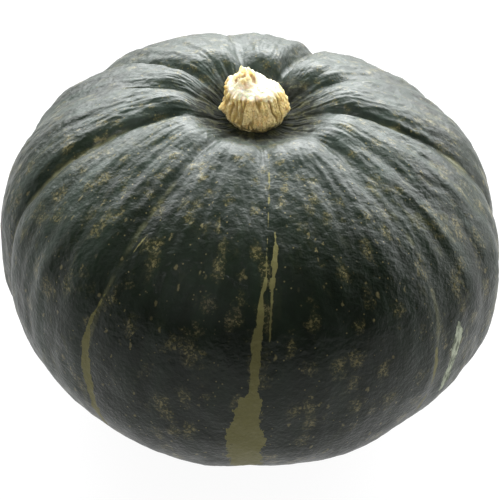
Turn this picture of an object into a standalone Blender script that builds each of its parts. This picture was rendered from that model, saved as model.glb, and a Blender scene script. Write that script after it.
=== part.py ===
"""Kabocha squash: a flattened, ribbed fruit and the corky stub of its stem.

Units are metres and +Z is up.  The fruit stands upright on the floor at z = 0, and the origin is the
middle of its outline on that floor.  Compass angles are degrees, counter-clockwise from +X seen from
above, so the front of the fruit is at -90.  A polar angle is measured down from the stem.  The spread
of a place is its distance from the axis as a share of the radius, and its rise is how far it stands
above the equator in the same way.
"""
import math

import bmesh
import bpy

MM = 0.001

# Fruit: driving dimensions
FRUIT_RADIUS = 0.090
CROWN_HEIGHT = 0.701 * FRUIT_RADIUS
BASE_DEPTH = 0.803 * FRUIT_RADIUS
CROWN_POWER = 0.773
BASE_POWER = 0.876
LEAN_OUT_RIGHT = 0.022
LEAN_OUT_FRONT = 0.053
STEM_HOLLOW_DEPTH = 0.145 * FRUIT_RADIUS
STEM_HOLLOW_WIDTH = 0.24
STEM_HOLLOW_POWER = 2.6
BLOSSOM_HOLLOW_DEPTH = 0.100 * FRUIT_RADIUS
BLOSSOM_HOLLOW_WIDTH = 0.28
RESTING_FLAT_DEPTH = 0.9 * MM

# Ribs: one groove per row, in order round the fruit
#   compass angle, swing of the groove from the stem to the base, depth on the flank, depth at the
#   crown, how far the lobe that follows it swells, and where that lobe's crest is between its grooves
GROOVES = [
    (-158, -1, 2.6 * MM, 4.1 * MM, -0.5 * MM, 0.37),
    (-122, -10, 0.7 * MM, 3.6 * MM, 0.3 * MM, 0.50),
    (-84, -2, 1.1 * MM, 3.6 * MM, -0.5 * MM, 0.38),
    (-45, -5, 0.6 * MM, 3.2 * MM, 1.6 * MM, 0.56),
    (-1, 6, 2.6 * MM, 4.2 * MM, 0.3 * MM, 0.58),
    (30, 1, 0.5 * MM, 3.6 * MM, -3.8 * MM, 0.66),
    (74, 12, 5.2 * MM, 8.0 * MM, -2.6 * MM, 0.38),
    (106, 4, 1.8 * MM, 3.0 * MM, 1.8 * MM, 0.24),
    (147, 0, 3.3 * MM, 4.5 * MM, -0.2 * MM, 0.42),
    (173, 0, 0.7 * MM, 3.7 * MM, 1.1 * MM, 0.42),
]
GROOVE_START = 0.05
GROOVE_FULL = 0.45
CREST_POWER = 1.5
CREST_SPREAD_POWER = 2.0
LOBE_POWER_AT_POLES = 2.2
LOBE_POWER_ADDED_AT_FLANK = 1.6

# Stem: driving dimensions
STEM_GAP = 0.5 * MM
STEM_RIDGES = 17
STEM_RIDGE_DEPTH = 0.5 * MM
STEM_TILT = 1.4 * MM
STEM_FOOT_RADIUS = 10.2 * MM
STEM_FOOT_HEIGHT = 5.4 * MM
STEM_OUTLINE = [
    (0.0 * MM, 0.0 * MM),
    (5.0 * MM, 0.0 * MM),
    (8.6 * MM, 0.3 * MM),
    (10.2 * MM, 1.6 * MM),
    (11.4 * MM, 3.6 * MM),
    (11.7 * MM, 5.6 * MM),
    (11.3 * MM, 8.0 * MM),
    (10.5 * MM, 10.4 * MM),
    (9.3 * MM, 12.8 * MM),
    (8.2 * MM, 14.2 * MM),
    (6.8 * MM, 15.0 * MM),
    (5.2 * MM, 15.5 * MM),
    (3.6 * MM, 15.9 * MM),
    (1.8 * MM, 16.1 * MM),
    (0.0 * MM, 16.2 * MM),
]
KNOB_CENTRE = (-3.5 * MM, 1.5 * MM)
KNOB_HEIGHT = 3.4 * MM
KNOB_WIDTH = 4.4 * MM
KNOB_POWER = 4

# Mesh fineness
LOBE_COLUMNS = 9
FRUIT_RINGS = 34
STEM_COLUMNS = 68

# Surface colours and roughness
RIND_COLOUR = (0.022, 0.034, 0.023)
RIND_ROUGHNESS = 0.42
CORK_COLOUR = (0.60, 0.43, 0.20)
CORK_ROUGHNESS = 0.85


def clear_scene():
    """Start from an empty scene."""
    for item in list(bpy.data.objects):
        bpy.data.objects.remove(item, do_unlink=True)


def ease(value, low, high):
    """Smooth step: 0 below low, 1 above high."""
    share = min(max((value - low) / (high - low), 0.0), 1.0)
    return share * share * (3.0 - 2.0 * share)


def stem_hollow(spread):
    """Depth of the hollow round the stem."""
    return STEM_HOLLOW_DEPTH * math.exp(-(spread / STEM_HOLLOW_WIDTH) ** STEM_HOLLOW_POWER)


def blossom_hollow(spread):
    """Depth of the hollow round the blossom-end scar."""
    return BLOSSOM_HOLLOW_DEPTH * math.exp(-(spread / BLOSSOM_HOLLOW_WIDTH) ** 2)


def crown_profile(spread):
    """Height of the crown above the equator, without its grooves."""
    rise = math.sqrt(1.0 - spread * spread)
    return CROWN_HEIGHT * rise ** CROWN_POWER - stem_hollow(spread)


def fruit_point(turn, polar):
    """Point on the skin: turn counts lobes round the fruit from the first groove, polar is in radians."""
    count = len(GROOVES)
    lobe = int(turn) % count
    share = turn - int(turn)
    compass, swing, flank, crown, swell, crest_share = GROOVES[lobe]
    next_compass, next_swing, next_flank, next_crown, _, _ = GROOVES[(lobe + 1) % count]
    if next_compass < compass:
        next_compass += 360

    spread = math.sin(polar)
    rise = math.cos(polar)
    degrees = compass + share * (next_compass - compass)
    degrees -= 0.5 * rise * (swing + share * (next_swing - swing))
    angle = math.radians(degrees)

    flank_depth = flank + share * (next_flank - flank)
    crown_depth = crown + share * (next_crown - crown)
    depth = flank_depth + (crown_depth - flank_depth) * rise * rise
    depth *= ease(spread, GROOVE_START, GROOVE_FULL)
    edge = abs(2.0 * share - 1.0)
    power = LOBE_POWER_AT_POLES + LOBE_POWER_ADDED_AT_FLANK * spread * spread
    crest_bias = math.log(0.5) / math.log(crest_share)
    crest = math.sin(math.pi * share ** crest_bias) ** CREST_POWER * spread ** CREST_SPREAD_POWER
    offset = 1.0 + (swell * crest - depth * edge ** power) / FRUIT_RADIUS

    outline = 1.0 + LEAN_OUT_RIGHT * math.cos(angle) - LEAN_OUT_FRONT * math.sin(angle)
    radius = FRUIT_RADIUS * spread * offset * outline
    if rise > 0.0:
        height = CROWN_HEIGHT * rise ** CROWN_POWER * offset - stem_hollow(spread)
    else:
        height = -BASE_DEPTH * abs(rise) ** BASE_POWER * offset + blossom_hollow(spread)
    return radius * math.cos(angle), radius * math.sin(angle), height


def template_sphere(columns, rings):
    """Unit sphere whose vertices are moved onto a shape; returns its bmesh."""
    sphere = bmesh.new()
    bmesh.ops.create_uvsphere(sphere, u_segments=columns, v_segments=rings, radius=1.0)
    return sphere


def sphere_place(vertex, columns, rings):
    """Column and ring numbers of a template vertex; ring 0 is the top pole."""
    polar = math.acos(min(max(vertex.co.z, -1.0), 1.0))
    ring = round(polar / math.pi * rings)
    turn = math.atan2(vertex.co.y, vertex.co.x) / math.tau
    column = round(turn * columns) % columns
    return column, ring


def skin_material(name, colour, roughness):
    """Plain Principled material."""
    material = bpy.data.materials.new(name)
    material.use_nodes = True
    shader = material.node_tree.nodes["Principled BSDF"]
    shader.inputs["Base Color"].default_value = (*colour, 1.0)
    shader.inputs["Roughness"].default_value = roughness
    shader.inputs["Metallic"].default_value = 0.0
    material.diffuse_color = (*colour, 1.0)
    return material


def finish_object(name, shape, material):
    """Turn a bmesh into a named, smooth-shaded object."""
    bmesh.ops.recalc_face_normals(shape, faces=shape.faces)
    bmesh.ops.triangulate(shape, faces=shape.faces, quad_method="FIXED")
    mesh = bpy.data.meshes.new(name)
    shape.to_mesh(mesh)
    shape.free()
    mesh.shade_smooth()
    mesh.materials.append(material)
    item = bpy.data.objects.new(name, mesh)
    bpy.context.scene.collection.objects.link(item)


def make_fruit():
    """The fruit as one closed skin; returns where its axis and its equator stand."""
    columns = LOBE_COLUMNS * len(GROOVES)
    shape = template_sphere(columns, FRUIT_RINGS)
    for vertex in shape.verts:
        column, ring = sphere_place(vertex, columns, FRUIT_RINGS)
        vertex.co = fruit_point(column / LOBE_COLUMNS, math.pi * ring / FRUIT_RINGS)

    xs = [vertex.co.x for vertex in shape.verts]
    ys = [vertex.co.y for vertex in shape.verts]
    axis_x = -0.5 * (min(xs) + max(xs))
    axis_y = -0.5 * (min(ys) + max(ys))
    lowest = min(vertex.co.z for vertex in shape.verts)
    equator = -(lowest + RESTING_FLAT_DEPTH)
    for vertex in shape.verts:
        height = max(vertex.co.z + equator, 0.0)
        vertex.co = (vertex.co.x + axis_x, vertex.co.y + axis_y, height)

    rind = skin_material("rind", RIND_COLOUR, RIND_ROUGHNESS)
    finish_object("fruit", shape, rind)
    return axis_x, axis_y, equator


def stem_point(column, ring):
    """Point on the stem, from the middle of its underside; ring 0 is the middle of its top."""
    radius, height = STEM_OUTLINE[len(STEM_OUTLINE) - 1 - ring]
    angle = math.tau * column / STEM_COLUMNS
    top = STEM_OUTLINE[-1][1]
    level = height / top
    on_side = math.sin(math.pi * level) if radius > 0.0 else 0.0
    radius += STEM_RIDGE_DEPTH * on_side * math.cos(STEM_RIDGES * angle)
    x = radius * math.cos(angle) - STEM_TILT * level
    y = radius * math.sin(angle)
    if height > 0.5 * top:
        reach = math.hypot(x - KNOB_CENTRE[0], y - KNOB_CENTRE[1]) / KNOB_WIDTH
        height += KNOB_HEIGHT * math.exp(-reach ** KNOB_POWER)
    return x, y, height


def make_stem(axis):
    """The stem, standing in the fruit's hollow with a hair's gap under it."""
    axis_x, axis_y, equator = axis
    rings = len(STEM_OUTLINE) - 1
    shape = template_sphere(STEM_COLUMNS, rings)
    for vertex in shape.verts:
        column, ring = sphere_place(vertex, STEM_COLUMNS, rings)
        x, y, height = stem_point(column, ring)
        spread = min(math.hypot(x, y), STEM_FOOT_RADIUS) / FRUIT_RADIUS
        bed = crown_profile(spread) + STEM_GAP
        bed_middle = crown_profile(0.0) + STEM_GAP
        sunk = 1.0 - ease(height, 0.0, STEM_FOOT_HEIGHT)
        base = bed_middle + (bed - bed_middle) * sunk
        vertex.co = (x + axis_x, y + axis_y, equator + base + height)

    cork = skin_material("cork", CORK_COLOUR, CORK_ROUGHNESS)
    finish_object("stem", shape, cork)


clear_scene()
fruit_axis = make_fruit()
make_stem(fruit_axis)
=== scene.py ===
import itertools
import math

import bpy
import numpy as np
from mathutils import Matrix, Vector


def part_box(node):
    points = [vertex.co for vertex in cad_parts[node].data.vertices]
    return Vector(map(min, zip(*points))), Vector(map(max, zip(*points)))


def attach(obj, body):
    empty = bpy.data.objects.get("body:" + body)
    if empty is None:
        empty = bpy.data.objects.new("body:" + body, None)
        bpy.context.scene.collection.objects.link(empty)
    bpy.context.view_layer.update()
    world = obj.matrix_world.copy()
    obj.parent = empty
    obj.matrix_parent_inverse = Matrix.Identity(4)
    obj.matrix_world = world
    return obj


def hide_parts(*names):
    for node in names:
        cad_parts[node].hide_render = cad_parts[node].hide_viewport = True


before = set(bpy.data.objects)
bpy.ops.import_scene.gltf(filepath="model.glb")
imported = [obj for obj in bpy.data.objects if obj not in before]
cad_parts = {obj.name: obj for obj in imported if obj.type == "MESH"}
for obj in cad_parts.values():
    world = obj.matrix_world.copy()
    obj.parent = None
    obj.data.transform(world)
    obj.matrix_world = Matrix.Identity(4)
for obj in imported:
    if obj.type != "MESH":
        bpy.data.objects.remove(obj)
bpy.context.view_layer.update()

# Looks of the kabocha squash: its fine ribbed skin, the corky stem, their materials, light and camera.
#
# Metres, +Z up, the fruit resting on the floor at z = 0.  A place on the skin has a turn, which counts
# lobes round the fruit from the first groove, a compass angle in degrees, counter-clockwise from +X with
# the front at -90, and a polar angle in degrees down from the stem.

MM = 0.001

# Fruit shape, the same as the CAD fruit's.  The spread of a place is its distance from the axis as a share
# of the radius.
FRUIT_RADIUS = 0.090
CROWN_HEIGHT = 0.701 * FRUIT_RADIUS
BASE_DEPTH = 0.803 * FRUIT_RADIUS
CROWN_POWER = 0.773
BASE_POWER = 0.876
LEAN_OUT_RIGHT = 0.022
LEAN_OUT_FRONT = 0.053
STEM_HOLLOW_DEPTH = 0.145 * FRUIT_RADIUS
STEM_HOLLOW_WIDTH = 0.24
STEM_HOLLOW_POWER = 2.6
BLOSSOM_HOLLOW_DEPTH = 0.100 * FRUIT_RADIUS
BLOSSOM_HOLLOW_WIDTH = 0.28
RESTING_FLAT_DEPTH = 0.9 * MM
GROOVE_START = 0.05
GROOVE_FULL = 0.45
CREST_POWER = 1.5
CREST_SPREAD_POWER = 2.0
LOBE_POWER_AT_POLES = 2.2
LOBE_POWER_ADDED_AT_FLANK = 1.6

# One groove per row: compass angle, swing of the groove from the stem to the base, depth on the flank,
# depth at the crown, how far the lobe after it swells (mm), where that lobe's crest is between its
# grooves, and how strong the groove's pale line is on the flank
GROOVES = [
    (-158, -1, 2.6, 4.1, -0.5, 0.37, 1.0),
    (-122, -10, 0.7, 3.6, 0.3, 0.50, 0.35),
    (-84, -2, 1.1, 3.6, -0.5, 0.38, 0.0),
    (-45, -5, 0.6, 3.2, 1.6, 0.56, 0.4),
    (-1, 6, 2.6, 4.2, 0.3, 0.58, 1.0),
    (30, 1, 0.5, 3.6, -3.8, 0.66, 0.3),
    (74, 12, 5.2, 8.0, -2.6, 0.38, 0.3),
    (106, 4, 1.8, 3.0, 1.8, 0.24, 0.3),
    (147, 0, 3.3, 4.5, -0.2, 0.42, 0.6),
    (173, 0, 0.7, 3.7, 1.1, 0.42, 0.7),
]
LOBES = len(GROOVES)

# The ring of the patterns' coordinates shrinks slowly towards the stem, so that they don't turn into thin
# rays there: the spread at which it would be nothing, and at which it is as wide as the fruit
RING_FROM = -0.2
RING_FULL = 0.8

# Mesh fineness
LOBE_COLUMNS = 52
UPPER_RINGS = 140
LOWER_RINGS = 50
UPPER_END = 100.0

# Strands down the skin, khaki but for the bleached one: compass angle and half width (mm) at each polar
# angle; where the half width is negative, nothing shows.  Strands of one group never come near each other.
FRONT_STRAND = [
    (15, -78.0, -0.3),
    (21, -80.0, 0.3),
    (26, -81.0, 0.4),
    (37, -82.7, 0.25),
    (47, -83.9, 0.3),
    (53, -84.0, 0.5),
    (58, -85.1, 0.8),
    (63, -85.3, 1.3),
    (69, -85.8, 1.7),
    (80, -85.9, 2.0),
    (85, -85.7, 2.2),
    (86, -86.3, 3.3),
    (91, -86.4, 5.0),
    (95, -86.8, 6.3),
    (104, -86.4, 6.2),
    (118, -85.5, 5.0),
    (135, -85.0, 2.0),
    (145, -85.0, -1.0),
]
SIDE_STRAND = [
    (38, -81.1, -0.5),
    (40, -81.1, 0.2),
    (45, -81.2, 0.7),
    (50, -81.7, 1.1),
    (55, -82.5, 0.8),
    (63, -83.0, 0.6),
    (67, -83.1, 0.85),
    (70, -83.2, 0.2),
    (72, -83.2, -1.0),
]
LEFT_STRAND = [
    (46, -115.5, -0.4),
    (50, -116.5, 0.25),
    (57, -118.0, 0.2),
    (61, -118.7, -0.3),
    (64, -119.5, 0.2),
    (73, -121.0, 0.45),
    (79, -122.2, 1.2),
    (86, -122.2, 2.0),
    (92, -121.8, 2.2),
    (99, -120.9, 2.0),
    (108, -120.2, 1.8),
    (118, -120.0, 1.0),
    (126, -120.0, -1.0),
]
RIGHT_STRAND = [
    (83, -45.0, -0.6),
    (85, -45.0, 1.1),
    (88, -44.8, 1.4),
    (90, -44.6, 1.1),
    (92, -44.5, 0.4),
    (97, -44.5, 0.5),
    (101, -45.0, 0.7),
    (106, -45.0, 0.5),
    (110, -45.0, -1.0),
]
BLEACHED_STRAND = [
    (80, -38.4, -1.0),
    (82, -38.0, 1.2),
    (85, -37.8, 2.2),
    (88, -38.0, 2.6),
    (92, -38.5, 2.8),
    (96, -39.0, 2.2),
    (100, -39.5, 1.2),
    (104, -39.5, -1.0),
]
STRAND_GROUPS = ((FRONT_STRAND, BLEACHED_STRAND), (SIDE_STRAND, RIGHT_STRAND), (LEFT_STRAND,))
STRAND_REACH = 12.0 * MM
NO_STRAND = -2.0
BLEACHED_COMPASS = -38.5
BLEACHED_HALF_WIDTH = 4.0

# The front of the fruit is coloured darker, as painted shade, and its folds are shallower, than its sides
FRONT_COMPASS = -86.0
FRONT_SHADE_FADE_FROM = 26.0
FRONT_SHADE_FADE_TO = 58.0

# Folds between the grooves: compass angle at the upper and the lower end, polar angle of each end, and
# depth and width (mm)
FOLDS = [
    (-163, -168, 15, 44, 1.1, 2.0),
    (-150, -149, 14, 100, 0.9, 2.2),
    (-141, -143, 14, 110, 1.0, 2.4),
    (-127, -136, 18, 54, 1.5, 2.8),
    (-131, -133, 60, 125, 0.8, 2.2),
    (-118, -123, 18, 125, 1.5, 3.0),
    (-111, -113, 14, 34, 0.5, 1.5),
    (-103, -106, 15, 80, 0.6, 2.6),
    (-95, -97, 16, 30, 0.4, 1.3),
    (-73, -72, 14, 34, 0.5, 1.5),
    (-64, -66, 14, 90, 0.6, 2.6),
    (-56, -54, 24, 100, 0.6, 2.2),
    (-45, -41, 16, 130, 1.5, 3.0),
    (-36, -34, 24, 110, 1.0, 1.9),
    (-29, -27, 16, 125, 2.0, 3.0),
    (-15, -14, 14, 110, 1.2, 2.0),
    (3, 5, 10, 34, 0.9, 1.3),
    (9, 15, 18, 40, 0.7, 1.3),
    (20, 19, 14, 44, 0.8, 1.8),
    (42, 40, 10, 40, 0.8, 1.8),
    (51, 62, 9, 36, 1.3, 1.8),
    (84, 86, 12, 44, 0.9, 2.0),
    (95, 94, 10, 36, 0.7, 1.6),
    (119, 121, 12, 46, 0.9, 2.2),
    (134, 133, 12, 46, 1.0, 2.2),
    (160, 158, 12, 42, 1.0, 1.8),
    (182, 181, 10, 46, 1.0, 2.0),
    (191, 190, 12, 36, 0.7, 1.6),
]

FOLD_STRENGTH = 0.24
FOLD_WANDER = 1.3 * MM
FOLD_UNEVENNESS = 0.45
FOLD_FADE_IN = 16.0
FOLD_FADE_OUT_SHARE = 0.6
FOLD_PAST_END = 4.0
TROUGH_WIDENING = 1.35
BANK_WIDENING = 2.6
BANK_SHARE = 0.5

# Creases along the grooves (mm): sharp in grooves that are deep on the flank, and rounded over in others
CREASE_STRENGTH = 0.85
CREASE_ON_FLANK = 0.2
CREASE_ADDED_ON_SHOULDER = 0.55
CREASE_SOFTEST = 0.15
CREASE_UNEVENNESS = 0.5
CREASE_WANDER = 0.6 * MM
CREASE_WIDTH = 1.3 * MM
CREASE_POWER = 1.2
ROUNDING_SHARE = 0.44
ROUNDING_WIDTH = 3.8 * MM

# Wrinkles, dimples and lumps of the skin
WRINKLE_DEPTH = 0.20
WRINKLE_SHARPNESS = 2.2
LONG_FOLD_HEIGHT = 0.60
LUMP_HEIGHT = 0.55 * MM
LUMP_SIZE = 24 * MM
DENT_HEIGHT = 0.24 * MM
PEBBLE_HEIGHT = 0.18 * MM
PEBBLE_SIZE = 2.4 * MM

# Round the stem and the blossom-end scar (mm)
LIP_HEIGHT = 1.2
VALLEY_DEPTH = 0.8
HOLLOW_DROP = 0.6
FOOT_GAP = 1.0
PLEAT_HEIGHT = 0.6
SCAR_RIM_HEIGHT = 0.7
SCAR_SINK_SHARE = 0.8
SCAR_RAY_HEIGHT = 0.35

# Stem shape: radius and height (mm) from its foot up, then how its plan departs from a circle (waves round
# it, share of the radius, phase), a squarer shoulder on the left, and how far furrows, grain, crumbs and one
# nub stand in or out (mm)
STEM_OUTLINE = [
    (0.0, -0.4),
    (5.0, -0.4),
    (8.8, 0.1),
    (10.2, 1.6),
    (11.3, 3.6),
    (11.6, 5.6),
    (11.3, 8.0),
    (10.5, 10.4),
    (9.5, 12.6),
    (8.4, 14.0),
    (7.0, 14.8),
    (5.2, 15.3),
    (3.0, 15.7),
    (0.0, 15.9),
]
STEM_TOP = STEM_OUTLINE[-1][1] * MM
STEM_COLUMNS = 360
STEM_STEPS = 12
STEM_LEAN = Vector((-1.4 * MM, 0.2 * MM, 0.0))
STEM_SINK = 0.8 * MM
KNOB_CENTRE = (-3.4 * MM, 1.5 * MM)
KNOB_HEIGHT = 3.0
KNOB_WIDTH = 4.5 * MM
KNOB_POWER = 4
KNOB_CRUMBS = 1.5
FURROW_DEPTH = 0.95
FINE_FURROW_DEPTH = 0.4
FINE_FURROW_SHADE = 0.45
GRAIN_HEIGHT = 0.38
COARSE_GRAIN_HEIGHT = 0.45
TOP_CRUMBS = 0.35
NUB_CENTRE = np.array([-11.4 * MM, -2.0 * MM, 4.6 * MM])
NUB_HEIGHT = 1.3
NUB_WIDTH = 1.9 * MM
STEM_PLAN = [(2, 0.03, 0.6), (3, 0.03, -1.1), (5, 0.015, 0.0)]
SHOULDER_BULGE = 0.13
STEM_FOOT_BEND = 8 * MM

# Camera: elevation above the floor, distance and focal length, and how far the fruit leans in the view
CAMERA_ELEVATION = math.radians(40.0)
CAMERA_DISTANCE = 6.0 * FRUIT_RADIUS
CAMERA_LENS = 104.5
CAMERA_ROLL = 0.081
AIM_SIDE = 1.4 * MM
AIM_DROP = 7.7 * MM

# Colours
RIND_DARK = (0.0026, 0.0058, 0.0019)
RIND_GREEN = (0.0058, 0.0122, 0.0046)
RIND_STREAK = (0.0078, 0.0150, 0.0066)
RIND_BAND = (0.0185, 0.0305, 0.0205)
RIND_OLIVE = (0.046, 0.048, 0.017)
# waxy bloom with painted sheen, paler and bluer near the crown
RIND_BLOOM_AND_SHEEN = (0.034, 0.047, 0.038)
SPECK_DULL = (0.070, 0.062, 0.024)
SPECK_BRIGHT = (0.195, 0.165, 0.072)
LINE_TONE = (0.115, 0.115, 0.055)
KHAKI_DARK = (0.082, 0.076, 0.024)
KHAKI_PALE = (0.140, 0.130, 0.045)
BLEACHED_DARK = (0.070, 0.085, 0.050)
BLEACHED_PALE = (0.330, 0.360, 0.265)
# painted shade in the stem hollow, and its olive mottle
HOLLOW_PAINTED_SHADE = (0.006, 0.0075, 0.004)
HOLLOW_OLIVE = (0.034, 0.034, 0.012)
SCAR_BROWN = (0.100, 0.075, 0.035)
SCAR_PALE = (0.320, 0.260, 0.150)
CORK_OCHRE = (0.64, 0.46, 0.18)
CORK_GOLD = (0.86, 0.69, 0.34)
CORK_PALE = (0.93, 0.79, 0.48)
# ochre-brown of the furrows as painted shade, and of the scattered pits
CORK_FURROW_SHADE_AND_PIT = (0.34, 0.22, 0.060)
# creamy top of the stem, partly a painted highlight
CORK_CREAM_AND_HIGHLIGHT = (0.94, 0.87, 0.66)
CORK_CRUMB = (0.93, 0.78, 0.44)
CORK_PIT = (0.36, 0.21, 0.06)
# dark spots and painted shade at the stem's foot
CORK_DIRT_AND_SHADE = (0.075, 0.062, 0.022)

# Stretches of the materials' patterns: two directions across the skin and one down the meridian, and for
# the fibres two across the stem and one up it
STREAK_STRETCH = (1.0, 1.0, 0.35)
BAND_STRETCH = (1.0, 1.0, 0.10)
BLOTCH_STRETCH = (1.0, 1.0, 0.5)
CLUMP_STRETCH = (1.0, 1.0, 0.62)
DASH_STRETCH = (1.0, 1.0, 0.55)
EDGE_STRETCH = (1.0, 1.0, 0.4)
BREAK_STRETCH = (0.6, 0.6, 1.0)
GAP_STRETCH = (0.5, 0.5, 1.0)
FIBRE_STRETCH = (1.0, 1.0, 0.3)

# How strongly the parts of the patterns show, and how ragged their edges are
DOT_SHARE = 0.75
CLUMP_SHARE = 0.8
DASH_SHARE = 0.65
PATCH_SHARE = 0.3
BLOOM_AND_SHEEN_SHARE = 0.5
HOLLOW_SHADE_SHARE = 0.95
KNOB_SHARE = 0.85
DASH_JITTER = 2.4 * MM
LINE_RAGGEDNESS = 2.0 * MM
STRAND_RAGGEDNESS = 2.0
STRAND_GAP = 0.40 * MM

# Gloss
RIND_SPECULAR = 0.19
RIND_ROUGHNESS = (0.34, 0.44)
STRAND_DULLNESS = 0.18
HOLLOW_DULLNESS = 0.5
CORK_SPECULAR = 0.25
CORK_ROUGHNESS = (0.78, 0.95)
CORK_GLOW_WEIGHT = 0.5
CORK_GLOW_RADIUS = (1.0, 0.75, 0.4)
CORK_GLOW_DEPTH = 5.0 * MM

# Studio: floor reflectance and glow, and the bright band of the surround, which is centred behind the
# fruit and reaches further to the sides than up and down
FLOOR_HALF_WIDTH = 3.0
FLOOR_WHITE = 0.08
FLOOR_GLOW = 0.95
SKY_ELEVATION = math.radians(35.0)
SKY_FULL = math.radians(14.0)
SKY_EDGE = math.radians(40.0)
SKY_SQUEEZE = 0.5
SKY_BRIGHT = 11.5
SKY_DIM = 0.17
SKY_COLOUR = (0.97, 0.99, 1.0, 1.0)

# Softboxes: name, place, side of the square and power, all aimed at the middle of the fruit
SOFTBOXES = [
    ("overhead", (0.0, 0.9, 0.7), 0.6, 8.0),
    ("right_side", (1.15, 0.35, 0.35), 0.9, 8.0),
    ("left_side", (-1.2, 0.15, 0.35), 0.9, 2.6),
]
SOFTBOX_AIM = (0.0, 0.0, 0.06)

# Narrow lamp on the stem: where it aims, from the middle of the equator, and where it stands from there
STEM_LAMP_AIM = Vector((0.0, -2.0 * MM, 60.0 * MM))
STEM_LAMP_OFFSET = Vector((-0.25, -0.90, 0.65))
STEM_LAMP_POWER = 290.0
STEM_LAMP_CONE = math.radians(2.2)
STEM_LAMP_BLEND = 0.4
STEM_LAMP_SIZE = 0.06

# Noise: how many random slopes it picks from, how it picks one for each corner of a cell, and what brings
# the result to about -1 to 1
NOISE_TABLE = 8192
NOISE_PRIMES = np.array([73856093, 19349663, 83492791], dtype=np.int64)
NOISE_FACTOR = 1274126177
NOISE_SHIFTS = (13, 16)
NOISE_GAIN = 1.7


# ---------------------------------------------------------------------------------------------------
# Number helpers

def ease(value, low, high):
    """Smooth step: 0 below low, 1 above high."""
    share = np.clip((value - low) / (high - low), 0.0, 1.0)
    return share * share * (3.0 - 2.0 * share)


def window(value, rise_from, rise_to, fall_from, fall_to):
    """0 outside, 1 between rise_to and fall_from, smooth in between."""
    return ease(value, rise_from, rise_to) * (1.0 - ease(value, fall_from, fall_to))


def bell(value, middle, width):
    """1 at the middle, falling smoothly to 0 on both sides."""
    return np.exp(-((value - middle) / width) ** 2)


def gradient_noise(points, seed):
    """Smooth noise of about -1 to 1 at an (n, 3) array of points; its features are one unit across."""
    slopes = np.random.default_rng(seed).normal(size=(NOISE_TABLE, 3))
    slopes /= np.linalg.norm(slopes, axis=1, keepdims=True)
    cell = np.floor(points).astype(np.int64)
    part = points - cell
    fade = part ** 3 * (part * (part * 6.0 - 15.0) + 10.0)
    total = np.zeros(len(points))
    for corner in itertools.product((0, 1), repeat=3):
        code = (cell + corner) @ NOISE_PRIMES
        code = (code ^ (code >> NOISE_SHIFTS[0])) * NOISE_FACTOR
        index = (code ^ (code >> NOISE_SHIFTS[1])) % NOISE_TABLE
        weight = np.prod(np.where(corner, fade, 1.0 - fade), axis=1)
        total += weight * np.einsum("ij,ij->i", slopes[index], part - corner)
    return NOISE_GAIN * total


def layered_noise(points, seed, layers):
    """Sum of noises, each twice as fine and half as strong as the last."""
    total = np.zeros(len(points))
    for layer in range(layers):
        total += 0.5 ** layer * gradient_noise(points * 2.0 ** layer, seed + layer)
    return total


def wrapped(degrees):
    """Angle difference brought into -180 to 180."""
    return (degrees + 180.0) % 360.0 - 180.0


# ---------------------------------------------------------------------------------------------------
# Fruit

def stem_hollow(spread):
    """Depth of the hollow round the stem, at a distance from the axis as a share of the radius."""
    return STEM_HOLLOW_DEPTH * np.exp(-(spread / STEM_HOLLOW_WIDTH) ** STEM_HOLLOW_POWER)


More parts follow.
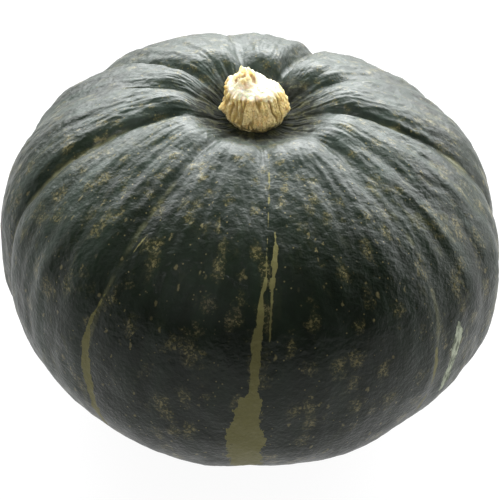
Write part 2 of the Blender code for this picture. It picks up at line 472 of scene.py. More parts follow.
class Skin:
    """Grid of places over the fruit, rings by columns, with what the shape and the material need there."""

    def __init__(self):
        upper = np.linspace(0.0, UPPER_END, UPPER_RINGS + 1)
        lower = np.linspace(UPPER_END, 180.0, LOWER_RINGS + 1)[1:]
        self.polar = np.concatenate([upper, lower])[:, None]
        self.turn = (np.arange(LOBE_COLUMNS * LOBES) / LOBE_COLUMNS)[None, :]
        self.share = self.turn % 1.0
        rows = np.array(GROOVES + GROOVES[:1], dtype=float)
        rows[-1, 0] += 360.0
        columns = [np.interp(self.turn, np.arange(LOBES + 1), values) for values in rows.T]
        compass, swing, self.flank, self.crown, _, _, self.line = columns
        lobe = self.turn.astype(int)
        compass_at_groove, _, _, _, swell, crest_share, _ = rows.T
        self.swell = swell[lobe]
        bias = math.log(0.5) / np.log(crest_share[lobe])
        self.crest = np.sin(np.pi * self.share ** bias)
        self.lobe_degrees = np.diff(compass_at_groove)[lobe]
        self.spread = np.sin(np.radians(self.polar))
        self.rise = np.cos(np.radians(self.polar))
        self.compass = compass - 0.5 * swing * self.rise
        self.from_front = np.abs(wrapped(self.compass - FRONT_COMPASS))
        self.shape = self.compass.shape

    def surface(self):
        """The plain ribbed surface, before any fine relief: an array of points, rings by columns."""
        depth = self.flank + (self.crown - self.flank) * self.rise ** 2
        depth = depth * ease(self.spread, GROOVE_START, GROOVE_FULL)
        edge = np.abs(2.0 * self.share - 1.0)
        power = LOBE_POWER_AT_POLES + LOBE_POWER_ADDED_AT_FLANK * self.spread ** 2
        crest = self.crest ** CREST_POWER * self.spread ** CREST_SPREAD_POWER
        offset = 1.0 + (self.swell * crest - depth * edge ** power) * MM / FRUIT_RADIUS
        angle = np.radians(self.compass)
        outline = 1.0 + LEAN_OUT_RIGHT * np.cos(angle) - LEAN_OUT_FRONT * np.sin(angle)
        radius = FRUIT_RADIUS * self.spread * offset * outline
        steepness = np.abs(self.rise)
        crown = CROWN_HEIGHT * steepness ** CROWN_POWER * offset - stem_hollow(self.spread)
        base = -BASE_DEPTH * steepness ** BASE_POWER * offset
        base = base + BLOSSOM_HOLLOW_DEPTH * np.exp(-(self.spread / BLOSSOM_HOLLOW_WIDTH) ** 2)
        height = np.where(self.rise > 0.0, crown, base)
        return np.stack([radius * np.cos(angle), radius * np.sin(angle), height], axis=-1)

    def measure(self, points):
        """Lengths over the surface: along a meridian from the stem, and round the fruit per degree."""
        steps = np.linalg.norm(np.diff(points, axis=0), axis=2)
        self.run = np.concatenate([np.zeros((1, self.shape[1])), np.cumsum(steps, axis=0)])
        self.per_degree = np.hypot(points[..., 0], points[..., 1]) * math.pi / 180.0
        self.to_groove = np.minimum(self.share, 1.0 - self.share) * self.lobe_degrees * self.per_degree

    def flow(self, across, along):
        """Noise coordinates that follow the meridians: feature size across (degrees) and along (metres)."""
        angle = np.radians(self.compass)
        ring = 180.0 / math.pi / across
        grid = np.stack([np.cos(angle) * ring, np.sin(angle) * ring, self.run / along], axis=-1)
        return grid.reshape(-1, 3)

    def noise(self, points, seed, layers=1):
        """Layered noise as a grid of rings by columns."""
        return layered_noise(points, seed, layers).reshape(self.shape)


def surface_normals(points):
    """Outward normals of a closed grid of rings by columns."""
    round_step = np.roll(points, -1, axis=1) - np.roll(points, 1, axis=1)
    down_step = np.gradient(points, axis=0)
    normals = np.cross(down_step, round_step)
    length = np.linalg.norm(normals, axis=2, keepdims=True)
    normals = normals / np.maximum(length, 1e-12)
    normals[0] = (0.0, 0.0, 1.0)
    normals[-1] = (0.0, 0.0, -1.0)
    return normals


def fold_relief(skin):
    """Folds that run out from the stem between the grooves; negative is inwards."""
    wander = FOLD_WANDER * skin.noise(skin.flow(across=14.0, along=16 * MM), seed=11)
    uneven = 1.0 + FOLD_UNEVENNESS * skin.noise(skin.flow(across=12.0, along=13 * MM), seed=13)
    relief = np.zeros(skin.shape)
    for upper, lower, start, end, depth, width in FOLDS:
        middle = np.interp(skin.polar, (start, end), (upper, lower))
        across = wrapped(skin.compass - middle) * skin.per_degree + wander
        fade_out = (FOLD_FADE_OUT_SHARE * end, end + FOLD_PAST_END)
        along = window(skin.polar, start, start + FOLD_FADE_IN, *fade_out)
        trough = bell(across, middle=0.0, width=TROUGH_WIDENING * width * MM)
        banks = bell(across, middle=0.0, width=BANK_WIDENING * width * MM)
        relief += FOLD_STRENGTH * along * depth * MM * (BANK_SHARE * banks - trough) * uneven
    return relief


def crease_relief(skin):
    """The sharp line at the bottom of each groove, and the rounding of grooves that are shallow."""
    shoulder = window(skin.polar, rise_from=6.0, rise_to=16.0, fall_from=45.0, fall_to=85.0)
    sharpness = CREASE_SOFTEST + (1.0 - CREASE_SOFTEST) * ease(skin.flank, low=0.7, high=2.6)
    depth = (CREASE_ON_FLANK + CREASE_ADDED_ON_SHOULDER * shoulder) * sharpness
    depth = depth * ease(skin.spread, low=0.04, high=0.2)
    uneven = 1.0 + CREASE_UNEVENNESS * skin.noise(skin.flow(across=20.0, along=12 * MM), seed=21)
    wander = CREASE_WANDER * skin.noise(skin.flow(across=20.0, along=9 * MM), seed=23)
    distance = np.abs(skin.to_groove + wander)
    crease = CREASE_STRENGTH * depth * uneven * np.exp(-(distance / CREASE_WIDTH) ** CREASE_POWER)
    groove_depth = skin.flank + (skin.crown - skin.flank) * skin.rise ** 2
    groove_depth = groove_depth * ease(skin.spread, low=0.2, high=0.5)
    softness = 1.0 - ease(skin.flank, low=0.8, high=2.4)
    rounding = ROUNDING_SHARE * softness * groove_depth * np.exp(-skin.to_groove / ROUNDING_WIDTH)
    return MM * (rounding - crease)


def wrinkle_relief(skin, points):
    """Fine broken wrinkles along the meridians, strongest on the shoulder, and long folds on the flanks."""
    flat = points.reshape(-1, 3)
    warp = skin.noise(flat / (12 * MM), seed=31, layers=2)
    coordinates = skin.flow(across=2.8, along=9 * MM)
    coordinates[:, 2] += 0.3 * warp.ravel()
    coordinates[:, 0] += 0.9 * warp.ravel()
    ridged = 1.0 - WRINKLE_SHARPNESS * np.abs(skin.noise(coordinates, seed=33, layers=2))
    below_shoulder = ease(skin.polar, low=34.0, high=66.0)
    shoulder = ease(skin.polar, low=12.0, high=22.0) * (1.0 - 0.85 * below_shoulder)
    patches = skin.noise(skin.flow(across=15.0, along=16 * MM), seed=36)
    patches = 0.5 + 0.5 * np.clip(1.5 * patches, -1.0, 1.0)
    long_folds = skin.noise(skin.flow(across=7.5, along=60 * MM), seed=38, layers=2)
    sides = 0.45 + 0.75 * ease(skin.from_front, low=28.0, high=60.0)
    towards_base = ease(skin.polar, low=100.0, high=150.0)
    flanks = ease(skin.polar, low=18.0, high=32.0) * (1.0 - 0.9 * towards_base) * sides
    fine = -WRINKLE_DEPTH * shoulder * (0.25 + patches) * np.clip(ridged, -0.4, 1.0)
    return MM * (fine + LONG_FOLD_HEIGHT * flanks * long_folds)


def pebble_relief(skin, points):
    """Hammered dimples and lumps of the skin."""
    flat = points.reshape(-1, 3)
    lumps = LUMP_HEIGHT * skin.noise(flat / LUMP_SIZE, seed=41, layers=2)
    dents = DENT_HEIGHT * skin.noise(skin.flow(across=3.4, along=12 * MM), seed=45, layers=2)
    pebbles = PEBBLE_HEIGHT * skin.noise(flat / PEBBLE_SIZE, seed=49)
    upper = 0.6 + 0.4 * (1.0 - ease(skin.polar, low=50.0, high=95.0))
    return (lumps + dents * upper + pebbles * upper) * ease(skin.spread, low=0.03, high=0.14)


def hollow_relief(skin):
    """Rounded lobe ends and pleats round the stem hollow, and the rim of the blossom-end scar."""
    lobe = np.sin(np.pi * skin.share) ** 0.8
    uneven = 1.0 + 0.5 * skin.noise(skin.flow(across=22.0, along=40 * MM), seed=57)
    lips = LIP_HEIGHT * lobe * uneven * bell(skin.polar, middle=20.5, width=4.5)
    valleys = bell(skin.to_groove, middle=0.0, width=3.2 * MM) * bell(skin.polar, middle=21.0, width=7.0)
    drop = HOLLOW_DROP * bell(skin.polar, middle=13.5, width=2.6) + VALLEY_DEPTH * valleys
    foot_gap = FOOT_GAP * bell(skin.polar, middle=8.8, width=2.2)
    pleats = skin.noise(skin.flow(across=15.0, along=40 * MM), seed=61, layers=2)
    near_stem = (1.0 - ease(skin.polar, low=16.0, high=24.0)) * ease(skin.polar, low=2.0, high=7.0)
    from_base = (180.0 - skin.polar) * np.ones(skin.shape)
    scar = bell(from_base, middle=0.0, width=3.2)
    rim = bell(from_base, middle=5.0, width=1.2) - SCAR_SINK_SHARE * scar
    rays = skin.noise(skin.flow(across=8.0, along=60 * MM), seed=65, layers=2)
    rays = rays * bell(from_base, middle=10.0, width=6.0)
    round_stem = lips - drop - foot_gap + PLEAT_HEIGHT * pleats * near_stem
    return MM * (round_stem + SCAR_RIM_HEIGHT * rim + SCAR_RAY_HEIGHT * rays)


def strand_fields(skin):
    """Distance from the middle line of the nearest strand in each group, and its half width, as vectors."""
    offsets = []
    widths = []
    for group in STRAND_GROUPS:
        offset = np.full(skin.shape, np.inf)
        half = np.zeros(skin.shape)
        for strand in group:
            polar, compass, half_width = np.array(strand).T
            middle = np.interp(skin.polar, polar, compass)
            distance = wrapped(skin.compass - middle) * skin.per_degree
            width = np.interp(skin.polar, polar, half_width, left=NO_STRAND, right=NO_STRAND) * MM
            nearer = np.abs(distance) < np.abs(offset)
            offset = np.where(nearer, distance, offset)
            half = np.where(nearer, width, half)
        offsets.append(offset)
        widths.append(np.where(np.abs(offset) < STRAND_REACH, half, NO_STRAND * MM))
    return np.stack(offsets, axis=-1), np.stack(widths, axis=-1)


def grid_faces(rings, columns):
    """Faces of a closed grid with one vertex at each pole, and each face corner's ring and column."""
    def index(ring, column):
        """Number of the vertex at a ring and a column, between the poles."""
        return 1 + (ring - 1) * columns + column % columns

    last = 1 + (rings - 2) * columns
    faces = []
    places = []
    for column in range(columns):
        faces.append((0, index(1, column), index(1, column + 1)))
        places += [(0, column + 0.5), (1, column), (1, column + 1)]
    for ring in range(1, rings - 2):
        for column in range(columns):
            faces.append((
                index(ring, column),
                index(ring + 1, column),
                index(ring + 1, column + 1),
                index(ring, column + 1),
            ))
            places += [(ring, column), (ring + 1, column), (ring + 1, column + 1), (ring, column + 1)]
    for column in range(columns):
        faces.append((index(rings - 2, column), last, index(rings - 2, column + 1)))
        places += [(rings - 2, column), (rings - 1, column + 0.5), (rings - 2, column + 1)]
    return faces, np.array(places, dtype=float)


def grid_values(grid):
    """A field over the grid as one row per mesh vertex."""
    inner = grid[1:-1].reshape(-1, *grid.shape[2:])
    return np.concatenate([grid[0].mean(axis=0)[None], inner, grid[-1].mean(axis=0)[None]])


def grid_mesh(name, points, fields):
    """Mesh from a grid of points, with the fields as vertex attributes and a map for baking."""
    rings, columns = points.shape[:2]
    faces, places = grid_faces(rings, columns)
    mesh = bpy.data.meshes.new(name)
    mesh.from_pydata(grid_values(points).tolist(), [], faces)
    for field_name, grid in fields.items():
        values = np.ascontiguousarray(grid_values(grid), dtype=np.float32)
        kind, part = ("FLOAT", "value") if values.ndim == 1 else ("FLOAT_VECTOR", "vector")
        mesh.attributes.new(field_name, kind, "POINT").data.foreach_set(part, values.ravel())
    flat_map = np.stack([places[:, 1] / columns, 1.0 - places[:, 0] / (rings - 1)], axis=1)
    mesh.uv_layers.new(name="OFBake").data.foreach_set("uv", flat_map.ravel().astype(np.float32))
    mesh.shade_smooth()
    mesh.update()
    item = bpy.data.objects.new(name, mesh)
    bpy.context.scene.collection.objects.link(item)
    return item


def make_fruit():
    """The detailed fruit; also returns where its axis and its equator stand."""
    skin = Skin()
    points = skin.surface()
    skin.measure(points)

    low = points.reshape(-1, 3).min(axis=0)
    high = points.reshape(-1, 3).max(axis=0)
    box_low, box_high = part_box("fruit")
    axis = Vector((
        0.5 * (box_low[0] + box_high[0] - low[0] - high[0]),
        0.5 * (box_low[1] + box_high[1] - low[1] - high[1]),
        box_low[2] - low[2] - RESTING_FLAT_DEPTH,
    ))

    folds = crease_relief(skin) + fold_relief(skin) + wrinkle_relief(skin, points)
    relief = folds + pebble_relief(skin, points) + hollow_relief(skin)
    points = points + surface_normals(points) * relief[..., None] + np.array(axis)
    points[..., 2] = np.maximum(points[..., 2], box_low[2])

    offsets, widths = strand_fields(skin)
    angle = np.radians(skin.compass)
    ring = FRUIT_RADIUS * ease(skin.spread, RING_FROM, RING_FULL)
    flow = np.stack([np.cos(angle) * ring, np.sin(angle) * ring, skin.run], axis=-1)
    line = window(skin.polar, rise_from=24.0, rise_to=34.0, fall_from=95.0, fall_to=120.0)
    from_bleached = (skin.compass - BLEACHED_COMPASS) / BLEACHED_HALF_WIDTH
    fields = {
        "flow": flow,
        "strand_offset": offsets,
        "strand_width": widths,
        "groove": skin.to_groove,
        "groove_line": skin.line * line,
        "valley": np.clip(-folds / MM, -1.0, 2.0),
        "polar": skin.polar * np.ones(skin.shape),
        "bleached": np.exp(-from_bleached ** 4),
        # painted shade: this field holds the rind's colour back in front
        "out_of_front_shade": ease(skin.from_front, FRONT_SHADE_FADE_FROM, FRONT_SHADE_FADE_TO),
    }
    return grid_mesh("fruit_skin", points, fields), axis


# ---------------------------------------------------------------------------------------------------
# Stem

def smooth_outline(points, steps):
    """Catmull-Rom curve through the points, with this many steps from each to the next."""
    points = np.array(points, dtype=float)
    padded = np.vstack([2 * points[0] - points[1], points, 2 * points[-1] - points[-2]])
    curve = []
    for first in range(len(points) - 1):
        before, start, end, after = padded[first:first + 4]
        for step in range(steps):
            t = step / steps
            curve.append(0.5 * (
                2 * start
                + (end - before) * t
                + (2 * before - 5 * start + 4 * end - after) * t ** 2
                + (3 * start - before - 3 * end + after) * t ** 3
            ))
    curve.append(points[-1])
    return np.array(curve)


def crown_height(spread):
    """Height of the bare crown above the equator, at a distance from the axis as a share of the radius."""
    return CROWN_HEIGHT * np.sqrt(1.0 - spread ** 2) ** CROWN_POWER - stem_hollow(spread)


def make_stem(axis):
    """The furrowed, corky stem with its crumbly top."""
    outline = smooth_outline(STEM_OUTLINE, STEM_STEPS)[::-1] * MM
    radius = np.maximum(outline[:, 0], 0.0)[:, None]
    height = outline[:, 1][:, None]
    angle = (np.arange(STEM_COLUMNS) * math.tau / STEM_COLUMNS)[None, :]
    shape = (len(outline), STEM_COLUMNS)
    level = height / STEM_TOP * np.ones(shape)

    plan = sum(share * np.cos(waves * angle + phase) for waves, share, phase in STEM_PLAN)
    leftward = np.clip(np.cos(angle - math.pi), 0.0, 1.0) ** 2
    bulge = SHOULDER_BULGE * leftward * bell(level, middle=0.82, width=0.16)
    radius = radius * (1.0 + plan * ease(height, low=0.0, high=5 * MM) + bulge)
    points = np.stack([radius * np.cos(angle), radius * np.sin(angle), height * np.ones(shape)], axis=-1)
    flat = points.reshape(-1, 3)

    def ridge_coordinates(across, along):
        """Noise coordinates round and up the stem: feature size across (degrees) and along (metres)."""
        ring = 180.0 / math.pi / across
        grid = np.stack([
            np.cos(angle) * ring * np.ones(shape),
            np.sin(angle) * ring * np.ones(shape),
            height / along * np.ones(shape),
        ], axis=-1)
        return grid.reshape(-1, 3)

    wander = gradient_noise(flat / (5 * MM), seed=71)
    coarse = ridge_coordinates(across=15.0, along=17 * MM)
    coarse[:, 0] += 0.5 * wander
    coarse = np.abs(gradient_noise(coarse, seed=73)).reshape(shape)
    furrow = 1.0 - ease(coarse, low=0.0, high=0.36)
    fine = ridge_coordinates(across=7.0, along=7 * MM)
    fine[:, 1] += 0.6 * wander
    fine = np.abs(gradient_noise(fine, seed=75)).reshape(shape)
    fine_furrow = 1.0 - ease(fine, low=0.0, high=0.45)
    side = window(level, rise_from=0.02, rise_to=0.2, fall_from=0.84, fall_to=0.96)
    grain = layered_noise(flat / (2.0 * MM), seed=77, layers=3).reshape(shape)
    coarse_grain = layered_noise(flat / (4.4 * MM), seed=79, layers=2).reshape(shape)
    relief = -side * (FURROW_DEPTH * furrow + FINE_FURROW_DEPTH * fine_furrow)
    relief = relief + GRAIN_HEIGHT * grain + COARSE_GRAIN_HEIGHT * coarse_grain

    nub = bell(np.linalg.norm(points - NUB_CENTRE, axis=2), middle=0.0, width=NUB_WIDTH)
    top = ease(level, low=0.86, high=0.98)
    reach = np.hypot(points[..., 0] - KNOB_CENTRE[0], points[..., 1] - KNOB_CENTRE[1]) / KNOB_WIDTH
    knob = np.exp(-reach ** KNOB_POWER) * top
    crumbs = layered_noise(flat / (1.7 * MM), seed=81, layers=2).reshape(shape)
    relief += NUB_HEIGHT * nub + top * TOP_CRUMBS * crumbs + knob * (KNOB_HEIGHT + KNOB_CRUMBS * crumbs)
    centre_fade = ease(radius * np.ones(shape), low=0.0, high=1.0 * MM)
    relief = relief * np.where(level > 0.5, 1.0, centre_fade)
    points = points + surface_normals(points) * (relief * MM)[..., None]

    spread = np.hypot(points[..., 0], points[..., 1]) / FRUIT_RADIUS
    middle = float(crown_height(0.0))
    sunk = 1.0 - ease(points[..., 2], 0.0, STEM_FOOT_BEND)
    points = points + level[..., None] * np.array(STEM_LEAN)
    points[..., 2] += (crown_height(spread) - middle) * sunk + middle - STEM_SINK
    points += np.array(axis)

    fields = {
        # the furrow field also carries the painted shade in the furrows
        "furrow": side * np.clip(furrow + FINE_FURROW_SHADE * fine_furrow, 0.0, 1.3),
        "level": np.clip(level, 0.0, 1.0),
        "knob": knob,
        "crumb": crumbs,
    }
    return grid_mesh("stem_cork", points, fields)


# ---------------------------------------------------------------------------------------------------
# Materials

class Graph:
    """Short way to add and link the shader nodes of one material or world."""

    def __init__(self, owner, shader_name):
        self.owner = owner
        self.owner.use_nodes = True
        self.tree = self.owner.node_tree
        self.shader = self.tree.nodes[shader_name]

    def plug(self, socket, value):
        """Link a socket, or set it to a plain value."""
        if isinstance(value, bpy.types.NodeSocket):
            self.tree.links.new(value, socket)
        elif isinstance(value, tuple) and len(value) == 3 and socket.type == "RGBA":
            socket.default_value = (*value, 1.0)
        else:
            socket.default_value = value

    def add(self, kind, inputs, **settings):
        """New node with its settings and inputs; an input's key is a socket's name or number."""
        node = self.tree.nodes.new(kind)
        for key, value in settings.items():
            setattr(node, key, value)
        for key, value in inputs.items():
            self.plug(node.inputs[key], value)
        return node

    def field(self, name, vector=False):
        """A vertex attribute, as a number or as a vector."""
        node = self.add("ShaderNodeAttribute", {}, attribute_name=name)
        return node.outputs["Vector" if vector else "Fac"]

    def position(self):
        """Place in the object's own metres."""
        return self.add("ShaderNodeTexCoord", {}).outputs["Object"]

    def split(self, vector):
        """The three parts of a vector."""
        return self.add("ShaderNodeSeparateXYZ", {0: vector}).outputs

    def stretch(self, vector, scale):
        """A vector times a scale in each direction."""
        return self.add("ShaderNodeVectorMath", {0: vector, 1: scale}, operation="MULTIPLY").outputs[0]

    def noise(self, vector, scale, detail=2.0, roughness=0.5, distortion=0.0):
        """Noise of 0 to 1."""
        inputs = {
            "Vector": vector,
            "Scale": scale,
            "Detail": detail,
            "Roughness": roughness,
            "Distortion": distortion,
        }
        return self.add("ShaderNodeTexNoise", inputs).outputs["Fac"]

    def cells(self, vector, scale):
        """Distance to the nearest of scattered points, and that point's own random colour."""
        node = self.add("ShaderNodeTexVoronoi", {"Vector": vector, "Scale": scale}, feature="F1")
        return node.outputs["Distance"], node.outputs["Color"]

    def math(self, operation, first, second=0.0):
        """Arithmetic on two numbers."""
        return self.add("ShaderNodeMath", {0: first, 1: second}, operation=operation).outputs[0]

    def span(self, value, low, high, to_low=0.0, to_high=1.0):
        """Smooth step from to_low to to_high as the value goes from low to high."""
        inputs = {"Value": value, "From Min": low, "From Max": high, "To Min": to_low, "To Max": to_high}
        node = self.add("ShaderNodeMapRange", inputs, interpolation_type="SMOOTHSTEP", clamp=True)
        return node.outputs["Result"]

    def mix(self, share, first, second):
        """Blend of two colours."""
        node = self.add("ShaderNodeMix", {}, data_type="RGBA", clamp_factor=True)
        self.plug(node.inputs[0], share)
        self.plug(node.inputs[6], first)
        self.plug(node.inputs[7], second)
        return node.outputs[2]

    def bump(self, height, distance, strength=1.0, normal=None):
        """Bump from a height of 0 to 1 that stands this many metres high."""
        inputs = {"Height": height, "Distance": distance, "Strength": strength}
        if normal is not None:
            inputs["Normal"] = normal
        return self.add("ShaderNodeBump", inputs).outputs["Normal"]


def material_graph(name):
    """Graph of a new material with a Principled shader."""
    return Graph(bpy.data.materials.new(name), "Principled BSDF")


def strand_mask(graph, rough_edge):
    """1 inside the strands, with ragged edges and a few gaps."""
    offsets = graph.split(graph.field("strand_offset", vector=True))
    widths = graph.split(graph.field("strand_width", vector=True))
    stretched = graph.stretch(graph.field("flow", vector=True), GAP_STRETCH)
    gaps = graph.noise(stretched, scale=260.0, detail=3.0, roughness=0.6)
    gap_width = graph.span(gaps, 0.40, 0.58, to_high=STRAND_GAP)
    mask = None
    for offset, width in zip(offsets, widths):
        distance = graph.math("ABSOLUTE", offset)
        raggedness = graph.math("MULTIPLY", rough_edge, graph.math("MAXIMUM", width, 0.2 * MM))
        inside = graph.math("ADD", graph.math("SUBTRACT", width, distance), raggedness)
        inside = graph.math("SUBTRACT", inside, gap_width)
        one = graph.span(inside, -0.1 * MM, 0.12 * MM)
        mask = one if mask is None else graph.math("MAXIMUM", mask, one)
    return mask


def speck_mask(graph, vector, scale, size, crowd):
    """Scattered specks; crowd is 0 to 1 and says how many of them show."""
    distance, colour = graph.cells(vector, scale)
    pick = graph.split(colour)[0]
    shown = graph.span(graph.math("ADD", crowd, pick), 0.92, 1.0)
    dot = graph.span(distance, size, 0.45 * size)
    return graph.math("MULTIPLY", shown, dot)


def clump_masks(graph, place, flow):
    """Soft patches several millimetres long down the meridian, and the fine dots that crowd in them."""
    drift = graph.noise(place, scale=240.0, detail=3.0, roughness=0.65)
    distance, colour = graph.cells(graph.stretch(flow, CLUMP_STRETCH), scale=150.0)
    pick = graph.split(colour)[1]
    ragged = graph.math("ADD", distance, graph.math("MULTIPLY", graph.math("SUBTRACT", drift, 0.5), 1.3))
    patch = graph.math("MULTIPLY", graph.span(ragged, 0.50, 0.05), graph.span(pick, 0.36, 0.50))
    grains = graph.noise(place, scale=1050.0, detail=3.0, roughness=0.65)
    return patch, graph.math("MULTIPLY", patch, graph.span(grains, 0.47, 0.60))


def ground_colour(graph, place, flow, broad):
    """Green ground, painted nearly black in front as painted shade, with bands and olive blotches towards
    the sides.
    """
    streaky = graph.noise(
        graph.stretch(flow, STREAK_STRETCH), scale=160.0, detail=4.0, roughness=0.6, distortion=0.4
    )
    fine = graph.noise(place, scale=420.0, detail=3.0, roughness=0.6)
    # Painted shade: the green, the bands and the olive blotches are held back in front, so the front is
    # nearly black
    out_of_front_shade = graph.span(graph.field("out_of_front_shade"), 0.0, 1.0, to_low=0.15)
    green = graph.math("MULTIPLY", graph.span(broad, 0.30, 0.62), out_of_front_shade)
    colour = graph.mix(green, RIND_DARK, RIND_GREEN)
    colour = graph.mix(graph.span(streaky, 0.42, 0.72, to_high=0.6), colour, RIND_STREAK)
    colour = graph.mix(graph.span(fine, 0.5, 0.8, to_high=0.35), colour, RIND_STREAK)
    bands = graph.noise(graph.stretch(flow, BAND_STRETCH), scale=120.0, detail=2.0, roughness=0.6)
    banded = graph.math("MULTIPLY", graph.span(bands, 0.40, 0.72, to_high=0.9), out_of_front_shade)
    colour = graph.mix(banded, colour, RIND_BAND)
    blotches = graph.noise(
        graph.stretch(flow, BLOTCH_STRETCH), scale=150.0, detail=4.0, roughness=0.7, distortion=0.6
    )
    olive = graph.math("MULTIPLY", graph.span(blotches, 0.56, 0.68, to_high=0.8), out_of_front_shade)
    colour = graph.mix(olive, colour, RIND_OLIVE)
    # Waxy bloom and painted sheen: the colour turns paler and bluer near the crown
    near_crown = graph.span(graph.field("polar"), 46.0, 20.0)
    bloom_and_sheen = graph.math("MULTIPLY", near_crown, graph.span(broad, 0.2, 0.7, to_low=0.5))
    return graph.mix(graph.math("MULTIPLY", bloom_and_sheen, BLOOM_AND_SHEEN_SHARE), colour, RIND_BLOOM_AND_SHEEN)


def add_specks(graph, place, flow, colour):
    """The colour with clumps of fine dots, lone dots, and dashes that crowd in the valleys."""
    patch, clumps = clump_masks(graph, place, flow)
    lone = graph.noise(place, scale=60.0, detail=1.0)
    crowd = graph.span(lone, 0.3, 0.7, to_low=0.26, to_high=0.66)
    dots = speck_mask(graph, place, scale=460.0, size=0.17, crowd=crowd)
    crowd = graph.span(graph.field("valley"), -0.2, 0.5, to_low=0.18, to_high=0.50)
    jitter = graph.add("ShaderNodeTexNoise", {"Vector": place, "Scale": 420.0, "Detail": 2.0})
    nudge = graph.stretch(jitter.outputs["Color"], (DASH_JITTER, DASH_JITTER, DASH_JITTER))
    shaken = graph.add("ShaderNodeVectorMath", {0: flow, 1: nudge}, operation="ADD").outputs[0]
    dashes = speck_mask(graph, graph.stretch(shaken, DASH_STRETCH), scale=350.0, size=0.25, crowd=crowd)
    dots = graph.math("MULTIPLY", dots, DOT_SHARE)
    clumps = graph.math("MULTIPLY", clumps, CLUMP_SHARE)
    dashes = graph.math("MULTIPLY", dashes, DASH_SHARE)
    specks = graph.math("MAXIMUM", graph.math("MAXIMUM", dots, clumps), dashes)
    tone = graph.mix(graph.noise(place, scale=300.0), SPECK_DULL, SPECK_BRIGHT)
    colour = graph.mix(graph.math("MULTIPLY", patch, PATCH_SHARE), colour, RIND_OLIVE)
    return graph.mix(specks, colour, tone)


def add_strands(graph, place, flow, colour):
    """The colour with pale lines in the grooves and with the strands; also the strands' mask."""
    edge = graph.noise(graph.stretch(flow, EDGE_STRETCH), scale=420.0, detail=4.0, roughness=0.6)
    ragged = graph.math("SUBTRACT", edge, 0.5)
    breaks = graph.noise(graph.stretch(flow, BREAK_STRETCH), scale=75.0, detail=2.0, roughness=0.6)
    broken = graph.span(breaks, 0.42, 0.60)
    line_edge = graph.math("ADD", graph.field("groove"), graph.math("MULTIPLY", ragged, LINE_RAGGEDNESS))
    line = graph.math("MULTIPLY", graph.span(line_edge, 1.4 * MM, 0.2 * MM), graph.field("groove_line"))
    colour = graph.mix(graph.math("MULTIPLY", line, broken), colour, LINE_TONE)

    strand = strand_mask(graph, graph.math("MULTIPLY", ragged, STRAND_RAGGEDNESS))
    khaki = graph.mix(graph.noise(place, scale=900.0, detail=3.0, roughness=0.7), KHAKI_DARK, KHAKI_PALE)
    streaks = graph.noise(graph.stretch(flow, STREAK_STRETCH), scale=600.0, detail=3.0, roughness=0.6)
    bleached = graph.mix(graph.span(streaks, 0.38, 0.62), BLEACHED_DARK, BLEACHED_PALE)
    return graph.mix(strand, colour, graph.mix(graph.field("bleached"), khaki, bleached)), strand


def rind_material():
    """Waxy blue-green skin with ochre specks, khaki strands, a bluish bloom with painted sheen near the
    crown, painted shade on the front and in the olive-mottled stem hollow, and a brown scar.
    """
    graph = material_graph("kabocha_rind")
    place = graph.position()
    flow = graph.field("flow", vector=True)
    polar = graph.field("polar")
    broad = graph.noise(place, scale=28.0, detail=3.0, roughness=0.55)
    colour = ground_colour(graph, place, flow, broad)
    colour = add_specks(graph, place, flow, colour)
    colour, strand = add_strands(graph, place, flow, colour)

    mottle = graph.noise(place, scale=330.0, detail=4.0, roughness=0.65)
    drift = graph.math("SUBTRACT", graph.math("ADD", broad, mottle), 1.0)
    # Painted shade: the rind round the stem hollow is coloured nearly black, mottled with olive
    hollow = graph.span(graph.math("ADD", polar, graph.math("MULTIPLY", drift, 8.0)), 16.5, 12.0)
    hollow_shade_and_olive = graph.mix(graph.span(mottle, 0.48, 0.64), HOLLOW_PAINTED_SHADE, HOLLOW_OLIVE)
    colour = graph.mix(graph.math("MULTIPLY", hollow, HOLLOW_SHADE_SHARE), colour, hollow_shade_and_olive)
    scar = graph.span(polar, 173.2, 175.0)
    scar_tone = graph.mix(graph.noise(place, scale=700.0, detail=4.0, roughness=0.7), SCAR_BROWN, SCAR_PALE)
    colour = graph.mix(scar, colour, scar_tone)
    graph.plug(graph.shader.inputs["Base Color"], colour)

    rough = graph.noise(place, scale=240.0, detail=3.0, roughness=0.6)
    rough = graph.span(rough, 0.3, 0.7, *RIND_ROUGHNESS)
    dull = graph.math("MULTIPLY", graph.math("MAXIMUM", strand, scar), STRAND_DULLNESS)
    rough = graph.math("ADD", rough, dull)
    rough = graph.math("ADD", rough, graph.math("MULTIPLY", hollow, HOLLOW_DULLNESS))
    graph.plug(graph.shader.inputs["Roughness"], rough)
    graph.shader.inputs["Specular IOR Level"].default_value = RIND_SPECULAR

    pebble = graph.noise(place, scale=680.0, detail=2.0, roughness=0.55)
    grain = graph.noise(place, scale=2600.0, detail=2.0, roughness=0.6)
    normal = graph.bump(pebble, distance=0.29 * MM)
    normal = graph.bump(grain, distance=0.05 * MM, strength=0.5, normal=normal)
    graph.plug(graph.shader.inputs["Normal"], normal)
    return graph.owner


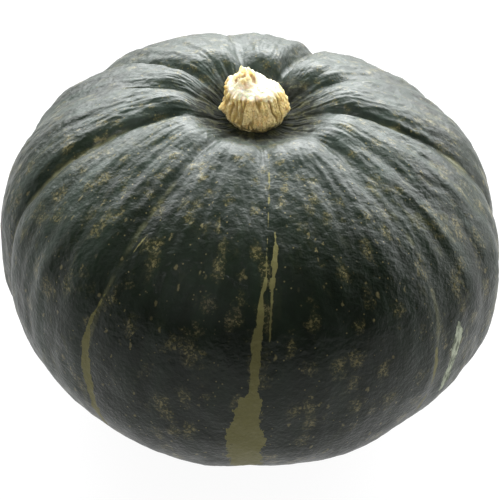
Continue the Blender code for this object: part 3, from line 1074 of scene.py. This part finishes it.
def cork_material():
    """Dry golden cork: pale ridges, ochre furrows with painted shade, a creamy broken top that is partly a
    painted highlight, and a foot darkened by dark spots and painted shade.
    """
    graph = material_graph("stem_cork")
    place = graph.position()
    furrow = graph.field("furrow")
    level = graph.field("level")
    crumb = graph.field("crumb")
    knob = graph.field("knob")

    patches = graph.noise(place, scale=260.0, detail=3.0, roughness=0.6)
    fibres = graph.noise(graph.stretch(place, FIBRE_STRETCH), scale=1500.0, detail=3.0, roughness=0.65)
    pits = graph.noise(place, scale=1700.0, detail=3.0, roughness=0.7)
    colour = graph.mix(graph.span(patches, 0.3, 0.7), CORK_OCHRE, CORK_GOLD)
    colour = graph.mix(graph.span(fibres, 0.45, 0.75, to_high=0.6), colour, CORK_PALE)
    # Painted shade: the cork is coloured ochre-brown in its furrows; the same brown marks its scattered pits
    colour = graph.mix(graph.span(furrow, 0.15, 0.95, to_high=0.8), colour, CORK_FURROW_SHADE_AND_PIT)
    colour = graph.mix(graph.span(pits, 0.50, 0.66, to_high=0.6), colour, CORK_FURROW_SHADE_AND_PIT)
    # Painted highlight: the top of the stem is coloured pale cream, partly its pale broken end
    cream_and_highlight = graph.math("ADD", level, graph.math("MULTIPLY", graph.math("SUBTRACT", patches, 0.5), 0.30))
    colour = graph.mix(graph.span(cream_and_highlight, 0.80, 0.93), colour, CORK_CREAM_AND_HIGHLIGHT)
    knob_tone = graph.mix(graph.span(crumb, -0.45, 0.25), CORK_PIT, CORK_CRUMB)
    colour = graph.mix(graph.math("MULTIPLY", graph.span(knob, 0.15, 0.6), KNOB_SHARE), colour, knob_tone)
    # Dark spots and painted shade: the cork darkens towards its foot, where it meets the fruit
    foot_dirt_and_shade = graph.noise(place, scale=520.0, detail=3.0, roughness=0.7)
    foot_dirt_and_shade = graph.math("SUBTRACT", foot_dirt_and_shade, graph.math("MULTIPLY", level, 1.7))
    colour = graph.mix(graph.span(foot_dirt_and_shade, 0.18, 0.42, to_high=0.85), colour, CORK_DIRT_AND_SHADE)
    graph.plug(graph.shader.inputs["Base Color"], colour)
    graph.plug(graph.shader.inputs["Roughness"], graph.span(fibres, 0.3, 0.7, *CORK_ROUGHNESS))
    graph.shader.inputs["Specular IOR Level"].default_value = CORK_SPECULAR
    graph.shader.inputs["Subsurface Weight"].default_value = CORK_GLOW_WEIGHT
    graph.shader.inputs["Subsurface Radius"].default_value = CORK_GLOW_RADIUS
    graph.shader.inputs["Subsurface Scale"].default_value = CORK_GLOW_DEPTH

    rough_grain = graph.noise(place, scale=1500.0, detail=4.0, roughness=0.75)
    normal = graph.bump(rough_grain, distance=1.0 * MM)
    normal = graph.bump(fibres, distance=0.25 * MM, strength=0.6, normal=normal)
    graph.plug(graph.shader.inputs["Normal"], normal)
    return graph.owner


# ---------------------------------------------------------------------------------------------------
# Studio

def make_floor():
    """Plain pale floor, faintly lit from within like a light table."""
    half = FLOOR_HALF_WIDTH
    corners = [(x, y, 0.0) for x, y in ((-half, -half), (half, -half), (half, half), (-half, half))]
    mesh = bpy.data.meshes.new("studio_floor")
    mesh.from_pydata(corners, [], [(0, 1, 2, 3)])
    floor = bpy.data.objects.new("studio_floor", mesh)
    bpy.context.scene.collection.objects.link(floor)
    graph = material_graph("studio_floor")
    graph.shader.inputs["Base Color"].default_value = (FLOOR_WHITE, FLOOR_WHITE, FLOOR_WHITE, 1.0)
    graph.shader.inputs["Roughness"].default_value = 0.9
    graph.shader.inputs["Specular IOR Level"].default_value = 0.1
    graph.shader.inputs["Emission Color"].default_value = (1.0, 1.0, 1.0, 1.0)
    graph.shader.inputs["Emission Strength"].default_value = FLOOR_GLOW
    mesh.materials.append(graph.owner)


def make_world():
    """Soft surround, bright above and behind the fruit and dim in front of it."""
    graph = Graph(bpy.data.worlds.new("studio"), "Background")
    direction = graph.add("ShaderNodeTexCoord", {}).outputs["Generated"]
    squeezed = graph.stretch(direction, (SKY_SQUEEZE, 1.0, 1.0))
    unit = graph.add("ShaderNodeVectorMath", {0: squeezed}, operation="NORMALIZE").outputs["Vector"]
    middle = (0.0, math.cos(SKY_ELEVATION), math.sin(SKY_ELEVATION))
    facing = graph.add("ShaderNodeVectorMath", {0: unit, 1: middle}, operation="DOT_PRODUCT")
    closeness = facing.outputs["Value"]
    strength = graph.span(closeness, math.cos(SKY_EDGE), math.cos(SKY_FULL), SKY_DIM, SKY_BRIGHT)
    graph.plug(graph.shader.inputs["Strength"], strength)
    graph.shader.inputs["Color"].default_value = SKY_COLOUR
    bpy.context.scene.world = graph.owner


def place_lamp(name, lamp, place, target):
    """Put a lamp at a place, pointing at the target."""
    item = bpy.data.objects.new(name, lamp)
    item.location = place
    item.rotation_euler = (target - item.location).to_track_quat("-Z", "Y").to_euler()
    bpy.context.scene.collection.objects.link(item)


def make_softbox(name, place, size, power):
    """Square softbox pointing at the fruit."""
    lamp = bpy.data.lights.new(name, "AREA")
    lamp.shape = "SQUARE"
    lamp.size = size
    lamp.energy = power
    place_lamp(name, lamp, place, Vector(SOFTBOX_AIM))


def make_stem_light(axis):
    """Narrow lamp from above the front that picks out the stem."""
    lamp = bpy.data.lights.new("stem_lamp", "SPOT")
    lamp.energy = STEM_LAMP_POWER
    lamp.spot_size = STEM_LAMP_CONE
    lamp.spot_blend = STEM_LAMP_BLEND
    lamp.shadow_soft_size = STEM_LAMP_SIZE
    target = axis + STEM_LAMP_AIM
    place_lamp("stem_lamp", lamp, target + STEM_LAMP_OFFSET, target)


def make_camera(axis):
    """Camera looking down at the front of the fruit, rolled so that the stem leans a little right."""
    back = Vector((0.0, -math.cos(CAMERA_ELEVATION), math.sin(CAMERA_ELEVATION)))
    camera = bpy.data.cameras.new("camera")
    camera.sensor_width = 36.0
    camera.lens = CAMERA_LENS
    camera.clip_start = 0.01
    item = bpy.data.objects.new("camera", camera)
    turn = back.to_track_quat("Z", "Y").to_matrix().to_4x4() @ Matrix.Rotation(CAMERA_ROLL, 4, "Z")
    aim = axis + turn.col[0].to_3d() * AIM_SIDE - turn.col[1].to_3d() * AIM_DROP
    item.matrix_world = Matrix.Translation(aim + back * CAMERA_DISTANCE) @ turn
    bpy.context.scene.collection.objects.link(item)
    bpy.context.scene.camera = item


fruit, fruit_axis = make_fruit()
fruit.data.materials.append(rind_material())
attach(fruit, "root")
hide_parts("fruit")

stem = make_stem(fruit_axis)
stem.data.materials.append(cork_material())
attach(stem, "root")
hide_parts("stem")

make_floor()
make_world()
for softbox in SOFTBOXES:
    make_softbox(*softbox)
make_stem_light(fruit_axis)
make_camera(fruit_axis)
bpy.context.scene.view_settings.view_transform = "Standard"
